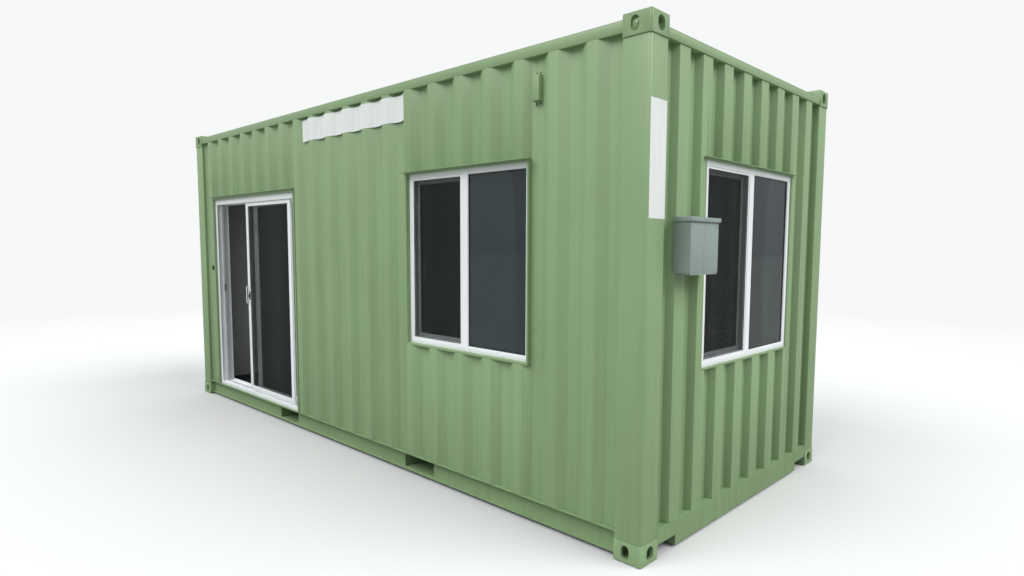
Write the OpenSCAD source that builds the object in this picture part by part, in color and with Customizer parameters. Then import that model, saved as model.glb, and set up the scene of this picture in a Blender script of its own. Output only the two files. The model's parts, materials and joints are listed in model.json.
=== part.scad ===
// Twenty-foot high shipping container fitted out as an office.
// Millimetres, +Z up. The origin is on the ground under the middle of the box.
// The long front side faces -Y, and the end with a window faces +X.

/* [Container] */
// Length over the corner castings
length = 6058; // [5000:1:7500]
// Width over the corner castings
width = 2438; // [2300:1:3000]
// Height over the corner castings
height = 2896; // [2700:1:3500]
// How far the posts, rails and side sheets lie inside the casting faces
face_inset = 5; // [3:1:12]

/* [Corner castings] */
// Casting size along the length
casting_x = 178; // [160:1:200]
// Casting size across the width
casting_y = 162; // [150:1:190]
// Casting height
casting_z = 118; // [110:1:130]
// Casting wall
casting_wall = 19; // [12:0.5:19]
// Rounding of the casting's outer edges
casting_round = 14; // [4:1:18]
// Twistlock slot, end to end
slot_length = 124.5; // [110:0.5:130]
// Twistlock slot width
slot_width = 63.5; // [55:0.5:70]
// Slot centre from the end face
slot_from_end = 102.5; // [98:0.5:106]
// Slot centre from the side face
slot_from_side = 89.5; // [80:0.5:95]
// Side hole width
side_hole_w = 51; // [40:0.5:60]
// End hole width
end_hole_w = 63.5; // [50:0.5:70]
// Height of the side and end holes
hole_h = 79.5; // [70:0.5:80]

/* [Frame] */
// Wall of the pressed corner posts
post_wall = 6; // [4:0.5:10]
// Top side rail, square tube
top_rail = 60; // [50:1:80]
// Wall of the rail tubes
rail_wall = 4; // [3:0.5:6]
// Top of the side rails below the castings' tops
top_rail_drop = 30; // [24:1:50]
// Top end rail depth along the length
end_rail_depth = 60; // [55:1:70]
// Top end rail face height
end_rail_face = 45; // [35:1:60]
// Underside of the top end rails above the castings' undersides
end_rail_lift = 7; // [3:1:20]
// Underside of the bottom side rails above the ground
rail_clearance = 24; // [13:1:40]
// Top of the bottom rails, where the sheets stand
rail_top = 160; // [150:1:190]
// Top flange of the bottom side rails
rail_flange_top = 48; // [44:1:70]
// Bottom flange of the bottom side rails
rail_flange_bottom = 30; // [20:1:45]
// Steel of the bottom rails
channel_wall = 4.5; // [3:0.5:8]
// Depth of the bottom end rails along the length
sill_depth = 56; // [52:1:80]
// Underside of the bottom end rails above the ground
sill_clearance = 15; // [8:1:30]
// Height of the notch beside each casting in the bottom end rails
notch_top = 75; // [50:1:100]
// Width of that notch
notch_w = 194; // [120:1:260]

/* [Underframe] */
// Distance between the fork pockets' centres
pocket_pitch = 2050; // [1800:1:2200]
// Clear width of a fork pocket
pocket_w = 350; // [305:1:400]
// Strip of web left under a fork pocket
pocket_strip = 8; // [4:1:16]
// Plates of the fork pockets
pocket_plate = 6; // [4:1:10]
// Depth of the strap under each mouth of a pocket
pocket_strap = 200; // [120:1:300]
// Spacing of the cross members
cross_pitch = 330; // [250:5:450]
// Flange width of the cross members
cross_flange = 45; // [35:1:60]
// Plywood thickness
plywood = 28; // [18:1:32]

/* [Corrugated sheets] */
// Sheet thickness
sheet = 2; // [1.5:0.1:3]
// Side wall pitch
side_pitch = 279; // [240:1:320]
// Far end of the container to the middle of the first outer flat
first_flat = 378.5; // [370:0.5:384]
// Side wall outer flat
side_ridge = 72; // [50:1:90]
// Side wall slope, along the wall
side_slope = 68; // [40:1:80]
// Side wall depth
side_depth = 36; // [24:1:45]
// End wall pitch
end_pitch = 250; // [220:1:280]
// End wall outer flat
end_ridge = 107; // [80:1:125]
// End wall slope, along the wall
end_slope = 18; // [10:1:30]
// End wall depth
end_depth = 45.6; // [30:0.1:46]
// End wall outer flats behind the casting faces
end_inset = 11; // [6:1:20]
// Roof rib pitch
roof_pitch = 209; // [180:1:260]
// Roof rib top flat
roof_ridge = 91; // [60:1:110]
// Roof rib slope
roof_slope = 14; // [8:1:25]
// Roof rib height
roof_depth = 20; // [10:1:24]
// Flat margin of the roof at the side rails
roof_side_margin = 110; // [80:1:200]
// Flat margin of the roof at the end plates
roof_end_margin = 60; // [20:1:150]
// Thickness of the plates at the ends of the roof
roof_plate = 4; // [3:0.5:6]

/* [Insulated lining] */
// Thickness on the long sides
side_lining = 76; // [50:1:110]
// Thickness on the ends
end_lining = 70; // [50:1:110]
// Thickness under the roof
ceiling = 90; // [50:1:140]

/* [Door] */
// Width of the door frame
door_w = 1816; // [1500:1:2000]
// Height of the door frame
door_h = 2022; // [1900:1:2200]
// Far end of the container to the door frame
door_from_end = 434; // [260:1:700]
// Depth of the door frame
door_depth = 120; // [120:1:140]
// Door frame face behind the sheet's outer flats
door_inset = 22; // [6:1:24]
// Jamb and head thickness
jamb = 38; // [28:1:50]
// Sill thickness
door_sill = 30; // [20:1:45]
// Lips that hold the panels, inwards from the frame
lip = 18; // [14:1:24]
// Lips on the jambs, inwards from the frame
jamb_lip = 8; // [5:1:12]
// Thickness of a lip
lip_t = 6; // [4:1:8]
// Clearance round a moving panel
run_gap = 6; // [5:0.5:8]
// Clearance between a roller and its track
roll_gap = 0.3; // [0.1:0.1:0.8]
// Height of a track rib
track_h = 8; // [4:1:12]
// Width of the glass panels
panel_w = 915; // [850:1:940]
// Thickness of the glass panels
panel_t = 32; // [28:1:32]
// Stile width
stile = 85; // [60:1:100]
// Top and bottom rail of the glass panels
panel_rail = 65; // [50:1:100]
// How far the open panel stands out past the fixed one
panel_proud = 88; // [60:1:160]
// Width of the screen door
screen_w = 950; // [860:1:1000]
// Thickness of the screen door frame
screen_t = 20; // [10:1:20]
// Stile and rail of the screen door
screen_stile = 50; // [40:1:70]
// Open screen door's gap to its closing jamb
screen_back = 82; // [20:1:100]
// Mesh thickness
mesh_t = 1; // [0.6:0.1:2]
// Double glazing thickness
glass_t = 18; // [6:1:24]

/* [Windows] */
// Width of both windows
window_w = 1214; // [1000:1:1300]
// Height of both windows
window_h = 1214; // [1000:1:1300]
// Underside of the windows above the ground
window_z = 1000; // [900:1:1050]
// Near end of the container to the front window
window_from_end = 861; // [700:1:1100]
// Middle of the end window from the middle of the container
end_window_y = 0; // [-60:1:100]
// Window frame depth
window_depth = 70; // [64:1:74]
// Front window's frame face behind the sheet's outer flats
window_inset = 30; // [20:1:36]
// End window's frame face behind the sheet's outer flats
end_window_inset = 10; // [6:1:36]
// Insect screen behind the frame's face
insect_inset = 4; // [2:1:6]
// Fixed glass behind the frame's face
fixed_glass_inset = 14; // [8:1:20]
// Sash behind the frame's face
sash_inset = 38; // [28:1:42]
// Face width of the window frames
window_face = 32; // [24:1:50]
// Width of the upright between the two lights
mullion = 60; // [40:1:80]
// Width of the sash profile
sash_face = 38; // [28:1:55]
// Thickness of the sash
sash_t = 26; // [20:1:30]
// Width of the insect screen's frame
screen_face = 18; // [12:1:28]
// Thickness of the insect screen's frame
insect_t = 9; // [6:1:12]

/* [Steel surrounds] */
// Width round the windows
window_surround = 14; // [10:1:28]
// Width round the door
door_surround_w = 28; // [12:1:30]
// Drip edge out from the sheet's outer flats
drip_out = 26; // [10:1:40]
// Drip edge past the frame on each side
drip_side = 36; // [29:1:60]
// Drip edge thickness
drip_t = 4; // [3:0.5:6]

/* [Fittings] */
// Electrical box width
box_w = 301; // [200:1:360]
// Electrical box height
box_h = 300; // [200:1:400]
// Electrical box depth
box_d = 104; // [80:1:160]
// Middle of the electrical box from the middle of the end
box_y = -798; // [-820:1:-780]
// Underside of the electrical box above the ground
box_z = 1571; // [1300:1:1700]
// Electrical box steel
box_wall = 2; // [1.5:0.5:3]
// Overhang of the electrical box's cap
cap_out = 10; // [6:1:16]
// Height of the cap's lip
cap_h = 22; // [14:1:30]
// Ventilator width
vent_w = 56; // [40:1:66]
// Ventilator hood height
vent_h = 150; // [100:1:170]
// Ventilator plate height
vent_plate_h = 197; // [180:1:240]
// Top of the ventilator plate below the top side rail
vent_drop = 81; // [30:1:200]
// Ventilator hood depth
vent_d = 34; // [20:1:38]
// Cable gland width
gland_w = 54; // [30:1:60]
// Middle of the cable gland above the ground
gland_z = 1445; // [1200:1:1700]

/* [Hidden] */
$fn = 48;
eps = 0.01;

// Colours
green = "#7f9b78";
under_green = "#6d8a66";
white = "#e9ecec";
lining_white = "#c9cbcb";
grey = "#8c9a97";
pane = [0.25, 0.3, 0.3, 0.5];
mesh_grey = [0.2, 0.2, 0.2, 0.6];
black = "#1b1c1c";
wood = "#a98f6a";

// Outer faces of the steelwork
face_x = length / 2 - face_inset;
face_y = width / 2 - face_inset;
// Inner faces of the castings, where the rails end
inner_x = length / 2 - casting_x;
inner_y = width / 2 - casting_y;
// Where the side walls' pattern of folds starts
side_start = -length / 2 + first_flat - side_pitch / 2;
// Inner faces of the corrugated sheets
side_inner = face_y - side_depth - sheet;
end_face = length / 2 - end_inset;
end_inner = end_face - end_depth - sheet;
// Room faces of the lining
room_x = end_inner - end_lining;
room_y = side_inner - side_lining;
// Heights
top_rail_z = height - top_rail_drop - top_rail;
roof_z = height - top_rail_drop;
end_rail_z = height - casting_z + end_rail_lift;
ceiling_z = roof_z - ceiling;
// Back faces of the end rails
sill_back = face_x - sill_depth;
end_rail_back = face_x - end_rail_depth;
// Bottom side rail web
web_y = face_y - rail_flange_top;
floor_under = rail_top - plywood;

// Door places
door_left = -length / 2 + door_from_end;
door_right = door_left + door_w;
door_top = rail_top + door_h;
door_face = -face_y + door_inset;
clear_left = door_left + jamb;
clear_right = door_right - jamb;
clear_bottom = rail_top + door_sill;
clear_top = door_top - jamb;
screen_y = door_face + lip_t + run_gap;
fixed_y = screen_y + screen_t + run_gap;
sliding_y = fixed_y + panel_t + run_gap;
door_back = door_face + door_depth;
panel_z0 = clear_bottom + track_h + run_gap;
panel_z1 = clear_top - run_gap;
fixed_left = clear_right - panel_w;
sliding_left = fixed_left - panel_proud;
screen_left = clear_right - screen_back - screen_w;
door_cut_left = door_left - door_surround_w;
door_cut_right = door_right + door_surround_w;
door_cut_top = door_top + door_surround_w;

// Window places
window_x = length / 2 - window_from_end - window_w / 2;
window_top = window_z + window_h;
window_cut = window_w / 2 + window_surround;
window_cut_z0 = window_z - window_surround;
window_cut_z1 = window_top + window_surround;
// The light that opens, from the middle of its window
light_left = -window_w / 2 + window_face;
light_right = -mullion / 2;
light_low = window_z + window_face;
light_high = window_top - window_face;

// ---- Shared shapes ----

module block(x0, x1, y0, y1, z0, z1) {
    translate([x0, y0, z0]) cube([x1 - x0, y1 - y0, z1 - z0]);
}

// A copy at each end or side of the container
module both_x() {
    children();
    mirror([1, 0, 0]) children();
}

module both_y() {
    children();
    mirror([0, 1, 0]) children();
}

// A square with one round corner at the origin
module corner_square(w, d, r) {
    difference() {
        square([w, d]);
        translate([-1, -1]) square(r + 1);
    }
    translate([r, r]) circle(r);
}

// An upright slot-shaped hole along Z, long in its Y
module slot(w, l, t) {
    linear_extrude(t) {
        square([w, l - w], center = true);
        for (s = [-1, 1]) translate([0, s * (l - w) / 2]) circle(w / 2);
    }
}

// Depth of a corrugated face below its outer flats, at a place along it.
// q narrows the flats, which gives the face on the other side of the sheet.
function fold(x, pitch, ridge, slope, depth, q) =
    let (phase = x / pitch - floor(x / pitch))
    let (off = abs(phase - 0.5) * pitch - ridge / 2 + q)
    off <= 0 ? 0 : off >= slope ? depth : depth * off / slope;

// Places along a sheet from a to b where its face bends
function bends(a, b, pitch, ridge, slope, q) = [
    a,
    for (k = [floor(a / pitch) : floor(b / pitch)])
        for (d = [-ridge / 2 - slope + q, -ridge / 2 + q, ridge / 2 - q, ridge / 2 + slope - q])
            let (x = (k + 0.5) * pitch + d)
            if (x > a + eps && x < b - eps) x,
    b
];

// Section of a corrugated sheet from a to b, with its outer flats on Y = 0
module corrugation(a, b, pitch, ridge, slope, depth) {
    q = sheet * tan(atan(depth / slope) / 2);
    outer = [for (x = bends(a, b, pitch, ridge, slope, 0))
        [x, fold(x, pitch, ridge, slope, depth, 0)]];
    inner = [for (x = bends(a, b, pitch, ridge, slope, q))
        [x, fold(x, pitch, ridge, slope, depth, q) + sheet]];
    last = len(inner) - 1;
    polygon(concat(outer, [for (i = [last : -1 : 0]) inner[i]]));
}

// Front sheet between two places along the side and two heights
module side_sheet(a, b, z0, z1) {
    translate([side_start, -face_y, z0]) linear_extrude(z1 - z0)
        corrugation(a - side_start, b - side_start, side_pitch, side_ridge, side_slope, side_depth);
}

// Sheet of the near end, between two places across it and two heights
module end_sheet(a, b, z0, z1) {
    translate([end_face, 0, z0]) rotate([0, 0, 90]) linear_extrude(z1 - z0)
        corrugation(a, b, end_pitch, end_ridge, end_slope, end_depth);
}

// A flat rectangular ring in X and Z, thick in Y
module ring(w, h, face, t) {
    difference() {
        cube([w, t, h]);
        translate([face, -1, face]) cube([w - 2 * face, t + 2, h - 2 * face]);
    }
}

// ---- Corner castings and posts ----

// One casting with its outer corner at the origin
module casting() {
    mid_z = casting_z / 2;
    difference() {
        intersection() {
            linear_extrude(casting_z) corner_square(casting_x, casting_y, casting_round);
            translate([0, casting_y, 0]) rotate([90, 0, 0]) linear_extrude(casting_y)
                corner_square(casting_x, casting_z, casting_round / 2);
            rotate([90, 0, 90]) linear_extrude(casting_x)
                corner_square(casting_y, casting_z, casting_round / 2);
        }
        translate([casting_wall, casting_wall, casting_wall])
            cube([casting_x, casting_y, casting_z] - 2 * casting_wall * [1, 1, 1]);
        translate([slot_from_end, slot_from_side, -1]) rotate(90)
            slot(slot_width, slot_length, casting_wall + 2);
        translate([slot_from_end, casting_wall + 1, mid_z]) rotate([90, 0, 0])
            slot(side_hole_w, hole_h, casting_wall + 2);
        translate([-1, slot_from_side, mid_z]) rotate([90, 0, 90])
            slot(end_hole_w, hole_h, casting_wall + 2);
    }
}

// The two castings at the far end, on the ground
module end_castings() {
    both_y() translate([-length / 2, -width / 2, 0]) casting();
}

module bottom_corner_castings() {
    color(green) both_x() end_castings();
}

module top_far_corner_castings() {
    color(green) translate([0, 0, height]) mirror([0, 0, 1]) end_castings();
}

module top_near_corner_castings() {
    mirror([1, 0, 0]) top_far_corner_castings();
}

// Pressed open section with returns that the sheets are welded to
module post_section() {
    side_w = casting_x - face_inset;
    end_w = casting_y - face_inset;
    end_return = face_x - end_inner;
    difference() {
        corner_square(side_w, end_w, casting_round);
        translate([post_wall, post_wall])
            corner_square(side_w, end_w, casting_round - post_wall);
    }
    translate([side_w - post_wall, 0]) square([post_wall, side_depth + sheet]);
    translate([0, end_w - post_wall]) square([end_return, post_wall]);
}

module corner_posts() {
    color(green) both_x() both_y()
        translate([-face_x, -face_y, casting_z])
            linear_extrude(height - 2 * casting_z) post_section();
}

// ---- Rails ----

module bottom_side_rails() {
    color(under_green) both_y() difference() {
        union() {
            block(-inner_x, inner_x, -face_y, -web_y, rail_top - channel_wall, rail_top);
            block(-inner_x, inner_x, -web_y - channel_wall, -web_y, rail_clearance, rail_top);
            block(-inner_x, inner_x, -web_y - rail_flange_bottom, -web_y,
                rail_clearance, rail_clearance + channel_wall);
        }
        both_x() translate([(pocket_pitch - pocket_w) / 2, -face_y - 1, rail_clearance + pocket_strip])
            cube([pocket_w, rail_flange_top + 2,
                rail_top - channel_wall - rail_clearance - pocket_strip]);
    }
}

module top_side_rails() {
    color(green) both_y() difference() {
        block(-inner_x, inner_x, -face_y, -face_y + top_rail, top_rail_z, roof_z);
        block(-inner_x - 1, inner_x + 1, -face_y + rail_wall, -face_y + top_rail - rail_wall,
            top_rail_z + rail_wall, roof_z - rail_wall);
    }
}

module bottom_end_rails() {
    low_y = inner_y - notch_w;
    color(under_green) both_x() {
        block(face_x - channel_wall, face_x, -inner_y, inner_y, notch_top, rail_top);
        block(face_x - channel_wall, face_x, -low_y, low_y, sill_clearance, notch_top);
        block(sill_back, face_x, -inner_y, inner_y, rail_top - channel_wall, rail_top);
        block(sill_back, face_x, -low_y, low_y, sill_clearance, sill_clearance + channel_wall);
        both_y() {
            block(sill_back, face_x, low_y - channel_wall, inner_y,
                notch_top, notch_top + channel_wall);
            block(sill_back, face_x, low_y - channel_wall, low_y, sill_clearance, notch_top);
        }
    }
}

// Tube with an upstand at its back that carries the roof sheet's end
module top_end_rails() {
    color(green) both_x() {
        difference() {
            block(end_rail_back, face_x, -inner_y, inner_y, end_rail_z, end_rail_z + end_rail_face);
            block(end_rail_back + rail_wall, face_x - rail_wall, -inner_y - 1, inner_y + 1,
                end_rail_z + rail_wall, end_rail_z + end_rail_face - rail_wall);
        }
        block(end_rail_back, end_rail_back + rail_wall, -inner_y, inner_y,
            end_rail_z + end_rail_face - 1, roof_z);
    }
}

// ---- Underframe and floor ----

// Channel across the container, open towards +X
module cross_member(x) {
    translate([x - cross_flange / 2, -web_y, rail_clearance]) difference() {
        cube([cross_flange, 2 * web_y, floor_under - rail_clearance]);
        translate([channel_wall, -1, channel_wall])
            cube([cross_flange, 2 * web_y + 2, floor_under - rail_clearance - 2 * channel_wall]);
    }
}

module cross_members() {
    pocket_side = (pocket_pitch + pocket_w) / 2 + pocket_plate;
    inside_n = floor((pocket_pitch - pocket_w - cross_pitch) / 2 / cross_pitch);
    outside_n = floor((sill_back - pocket_side) / cross_pitch);
    color(under_green) {
        for (i = [-inside_n : inside_n]) cross_member(i * cross_pitch);
        for (i = [1 : outside_n]) both_x() cross_member(pocket_side + (i - 0.5) * cross_pitch);
    }
}

module fork_pocket(x) {
    half = pocket_w / 2;
    z0 = rail_clearance;
    for (s = [-1, 1]) {
        block(x + s * (half + pocket_plate / 2) - pocket_plate / 2,
            x + s * (half + pocket_plate / 2) + pocket_plate / 2,
            -web_y, web_y, z0, floor_under);
    }
    block(x - half - 1, x + half + 1, -web_y, web_y, floor_under - pocket_plate, floor_under);
    both_y() block(x - half - 1, x + half + 1, -web_y, -web_y + pocket_strap, z0, z0 + pocket_plate);
}

module fork_pockets() {
    color(under_green) for (s = [-1, 1]) fork_pocket(s * pocket_pitch / 2);
}

// Cut away at the corners, round the posts
module plywood_floor() {
    color(wood) difference() {
        block(-sill_back, sill_back, -web_y, web_y, floor_under, rail_top);
        both_x() both_y() block(inner_x, length, inner_y, width, 0, height);
    }
}

// ---- Roof ----

// The block under the roof's upper face
module under_roof() {
    rib_y = face_y - roof_side_margin;
    rib_n = floor((inner_x - roof_end_margin) * 2 / roof_pitch);
    rib_w = roof_ridge + 2 * roof_slope;
    base = 200;
    translate([-inner_x, -face_y, -base]) cube([2 * inner_x, 2 * face_y, base]);
    intersection() {
        translate([0, face_y, 0]) rotate([90, 0, 0]) linear_extrude(2 * face_y)
            for (i = [0 : rib_n - 1]) translate([(i - (rib_n - 1) / 2) * roof_pitch, 0])
                polygon([[-rib_w / 2, -1], [rib_w / 2, -1], [rib_w / 2, 0], [roof_ridge / 2, roof_depth],
                    [-roof_ridge / 2, roof_depth], [-rib_w / 2, 0]]);
        rotate([90, 0, 90]) translate([0, 0, -inner_x]) linear_extrude(2 * inner_x)
            polygon([[-rib_y, -1], [rib_y, -1], [rib_y, 0], [rib_y - roof_depth, roof_depth],
                [-rib_y + roof_depth, roof_depth], [-rib_y, 0]]);
    }
}

// A stamped sheet: the shape under its upper face, less the same shape one sheet lower
module roof_panel() {
    color(green) translate([0, 0, roof_z]) difference() {
        translate([0, 0, sheet]) under_roof();
        under_roof();
        translate([-length, -width, -height]) cube([2 * length, 2 * width, height]);
    }
}

// Flat plates between the castings, from the roof panel to the end rails
module roof_end_plates() {
    color(green) both_x() block(inner_x, end_rail_back + rail_wall, -inner_y, inner_y,
        roof_z, roof_z + roof_plate);
}

// ---- Corrugated walls ----

module front_wall() {
    color(green) {
        side_sheet(-inner_x, door_cut_left, rail_top, top_rail_z);
        side_sheet(door_cut_right, window_x - window_cut, rail_top, top_rail_z);
        side_sheet(window_x + window_cut, inner_x, rail_top, top_rail_z);
    }
}

module front_wall_over_door() {
    color(green) side_sheet(door_cut_left, door_cut_right, door_cut_top, top_rail_z);
}

module front_wall_at_window() {
    color(green) {
        side_sheet(window_x - window_cut, window_x + window_cut, rail_top, window_cut_z0);
        side_sheet(window_x - window_cut, window_x + window_cut, window_cut_z1, top_rail_z);
    }
}

module back_wall() {
    color(green) mirror([0, 1, 0]) side_sheet(-inner_x, inner_x, rail_top, top_rail_z);
}

module near_end_wall() {
    color(green) {
        end_sheet(-inner_y, end_window_y - window_cut, rail_top, end_rail_z);
        end_sheet(end_window_y + window_cut, inner_y, rail_top, end_rail_z);
    }
}

module near_end_wall_at_window() {
    color(green) {
        end_sheet(end_window_y - window_cut, end_window_y + window_cut, rail_top, window_cut_z0);
        end_sheet(end_window_y - window_cut, end_window_y + window_cut, window_cut_z1, end_rail_z);
    }
}

module far_end_wall() {
    color(green) mirror([1, 0, 0]) end_sheet(-inner_y, inner_y, rail_top, end_rail_z);
}

// ---- Insulated lining ----

module side_board(a, b, z0, z1) {
    block(a, b, -side_inner, -room_y, z0, z1);
}

module end_board(a, b, z0, z1) {
    block(room_x, end_inner, a, b, z0, z1);
}

module front_lining() {
    color(lining_white) {
        side_board(-room_x, door_cut_left, rail_top, ceiling_z);
        side_board(door_cut_right, window_x - window_cut, rail_top, ceiling_z);
        side_board(window_x + window_cut, room_x, rail_top, ceiling_z);
    }
}

module front_lining_at_openings() {
    color(lining_white) {
        side_board(door_cut_left, door_cut_right, door_cut_top, ceiling_z);
        side_board(window_x - window_cut, window_x + window_cut, rail_top, window_cut_z0);
        side_board(window_x - window_cut, window_x + window_cut, window_cut_z1, ceiling_z);
    }
}

module back_lining() {
    color(lining_white) mirror([0, 1, 0]) side_board(-room_x, room_x, rail_top, ceiling_z);
}

module near_end_lining() {
    color(lining_white) {
        end_board(-side_inner, end_window_y - window_cut, rail_top, ceiling_z);
        end_board(end_window_y + window_cut, side_inner, rail_top, ceiling_z);
    }
}

module near_end_lining_at_window() {
    color(lining_white) {
        end_board(end_window_y - window_cut, end_window_y + window_cut, rail_top, window_cut_z0);
        end_board(end_window_y - window_cut, end_window_y + window_cut, window_cut_z1, ceiling_z);
    }
}

module far_end_lining() {
    color(lining_white) mirror([1, 0, 0]) end_board(-side_inner, side_inner, rail_top, ceiling_z);
}

module ceiling_lining() {
    in_y = face_y - top_rail;
    color(lining_white) block(-inner_x, inner_x, -in_y, in_y, ceiling_z, roof_z);
}

// Between the castings
module ceiling_lining_ends() {
    color(lining_white) both_x()
        block(inner_x, end_rail_back, -inner_y, inner_y, ceiling_z, roof_z);
}

// ---- Steel surrounds ----

// A steel lining of an opening, with a drip edge over it. Its outer face is on Y = 0.
module window_steel(depth) {
    translate([-window_cut, 0, window_cut_z0])
        ring(2 * window_cut, window_cut_z1 - window_cut_z0, window_surround, depth);
    block(-window_w / 2 - drip_side, window_w / 2 + drip_side, -drip_out, 0,
        window_cut_z1 - drip_t, window_cut_z1);
}

module front_window_surround() {
    color(green) translate([window_x, -face_y, 0]) window_steel(side_depth + sheet + side_lining);
}

module end_window_surround() {
    color(green) translate([end_face, end_window_y, 0]) rotate([0, 0, 90])
        window_steel(end_depth + sheet + end_lining);
}

module door_surround() {
    depth = side_depth + sheet + side_lining;
    color(green) {
        for (x = [door_cut_left, door_right])
            block(x, x + door_surround_w, -face_y, -face_y + depth, rail_top, door_cut_top);
        block(door_cut_left, door_cut_right, -face_y, -face_y + depth, door_top, door_cut_top);
        block(door_left - drip_side, door_right + drip_side, -face_y - drip_out, -face_y,
            door_cut_top - drip_t, door_cut_top);
    }
}

// ---- Sliding door ----

// A rib on the sill or a lip, all along the opening
module sill_rib(y, t, h) {
    block(clear_left - 1, clear_right + 1, y, y + t, clear_bottom - 1, clear_bottom + h);
}

module door_frame() {
    track_t = 3;
    rib_in = 16;
    rib_clear = 4;
    color(white) {
        difference() {
            block(door_left, door_right, door_face, door_back, rail_top, door_top);
            block(clear_left, clear_right, door_face - 1, door_back + 1, clear_bottom, clear_top);
        }
        // Lips at the front and back of the head and sill
        for (y = [door_face, door_back - lip_t])
            block(clear_left - 1, clear_right + 1, y, y + lip_t, clear_top - lip, clear_top + 1);
        sill_rib(door_face, lip_t, track_h / 2);
        sill_rib(door_back - lip_t, lip_t, lip);
        // Lips on the jambs
        for (y = [door_face, door_back - lip_t]) {
            block(clear_left - 1, clear_left + jamb_lip, y, y + lip_t, clear_bottom, clear_top);
            block(clear_right - jamb_lip, clear_right + 1, y, y + lip_t, clear_bottom, clear_top);
        }
        // Rib on the left jamb between the screen's channel and the panel's
        block(clear_left - 1, clear_left + rib_in, fixed_y + rib_clear, fixed_y + panel_t - rib_clear,
            clear_bottom, clear_top);
        // Tracks
        sill_rib(screen_y + screen_t / 2 - track_t / 2, track_t, track_h);
        sill_rib(sliding_y + panel_t / 2 - track_t / 2, track_t, track_h);
    }
}

module panel_ring(x, y, z0, z1) {
    translate([x, y, z0]) difference() {
        cube([panel_w, panel_t, z1 - z0]);
        translate([stile, -1, panel_rail])
            cube([panel_w - 2 * stile, panel_t + 2, z1 - z0 - 2 * panel_rail]);
    }
}

module panel_glass(x, y, z0, z1) {
    in_y = (panel_t - glass_t) / 2;
    block(x + stile, x + panel_w - stile, y + in_y, y + in_y + glass_t,
        z0 + panel_rail, z1 - panel_rail);
}

// Two rollers under a panel, standing on its track
module rollers(x, y, w, t, r) {
    wheel_in = 120;
    for (px = [x + wheel_in, x + w - wheel_in])
        translate([px, y + t / 2 + r / 4, clear_bottom + track_h + roll_gap + r])
            rotate([90, 0, 0]) cylinder(r = r, h = r / 2);
}

module fixed_door_panel() {
    color(white) panel_ring(fixed_left, fixed_y, clear_bottom, clear_top);
}

module fixed_door_glass() {
    color(pane) panel_glass(fixed_left, fixed_y, clear_bottom, clear_top);
}

module sliding_door_panel() {
    roller_r = 14;
    color(white) {
        panel_ring(sliding_left, sliding_y, panel_z0, panel_z1);
        rollers(sliding_left, sliding_y, panel_w, panel_t, roller_r);
    }
}

module sliding_door_glass() {
    color(pane) panel_glass(sliding_left, sliding_y, panel_z0, panel_z1);
}

module screen_door_frame() {
    roller_r = 12;
    color(white) {
        translate([screen_left, screen_y, panel_z0])
            ring(screen_w, panel_z1 - panel_z0, screen_stile, screen_t);
        rollers(screen_left, screen_y, screen_w, screen_t, roller_r);
    }
}

module screen_door_mesh() {
    mid = screen_y + (screen_t - mesh_t) / 2;
    color(mesh_grey) block(screen_left + screen_stile, screen_left + screen_w - screen_stile,
        mid, mid + mesh_t, panel_z0 + screen_stile, panel_z1 - screen_stile);
}

// Pull and latch on the screen door's leading stile
module screen_door_handle() {
    grip_w = 14;
    grip_out = 26;
    grip_h = 180;
    grip_t = 5;
    grip_foot = 14;
    grip_x = screen_left + 12;
    grip_z = 1100;
    latch_w = 20;
    latch_h = 80;
    latch_out = 5;
    latch_x = screen_left + screen_stile - latch_w;
    latch_z = grip_z + 40;
    color(white) translate([grip_x, screen_y - grip_out, grip_z]) difference() {
        cube([grip_w, grip_out, grip_h]);
        translate([-1, grip_t, grip_foot]) cube([grip_w + 2, grip_out, grip_h - 2 * grip_foot]);
    }
    color(black) block(latch_x, latch_x + latch_w, screen_y - latch_out, screen_y,
        latch_z, latch_z + latch_h);
}

// ---- Windows ----
// In their own frame: X across from the middle, the outer face on Y = 0, and Z from the ground.

module window_frame() {
    color(white) {
        translate([-window_w / 2, 0, window_z]) ring(window_w, window_h, window_face, window_depth);
        block(-mullion / 2, mullion / 2, 0, window_depth, light_low - 1, light_high + 1);
    }
}

// A ring that fills the light that opens
module light_ring(y, face, t) {
    translate([light_left, y, light_low])
        ring(light_right - light_left, light_high - light_low, face, t);
}

module window_sash() {
    color(white) light_ring(sash_inset, sash_face, sash_t);
}

module window_glass() {
    in_sash = sash_inset + (sash_t - glass_t) / 2;
    color(pane) {
        block(light_left + sash_face, light_right - sash_face, in_sash, in_sash + glass_t,
            light_low + sash_face, light_high - sash_face);
        block(-light_right, -light_left, fixed_glass_inset, fixed_glass_inset + glass_t,
            light_low, light_high);
    }
}

module window_screen() {
    held = screen_face - 1;
    mid = insect_inset + (insect_t - mesh_t) / 2;
    color(mesh_grey) {
        light_ring(insect_inset, screen_face, insect_t);
        block(light_left + held, light_right - held, mid, mid + mesh_t,
            light_low + held, light_high - held);
    }
}

module on_front() {
    translate([window_x, -face_y + window_inset, 0]) children();
}

module on_end() {
    translate([end_face - end_window_inset, end_window_y, 0]) rotate([0, 0, 90]) children();
}

module front_window_frame() { on_front() window_frame(); }
module front_window_sash() { on_front() window_sash(); }
module front_window_glass() { on_front() window_glass(); }
module front_window_screen() { on_front() window_screen(); }
module end_window_frame() { on_end() window_frame(); }
module end_window_sash() { on_end() window_sash(); }
module end_window_glass() { on_end() window_glass(); }
module end_window_screen() { on_end() window_screen(); }

// ---- Fittings ----

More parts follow.
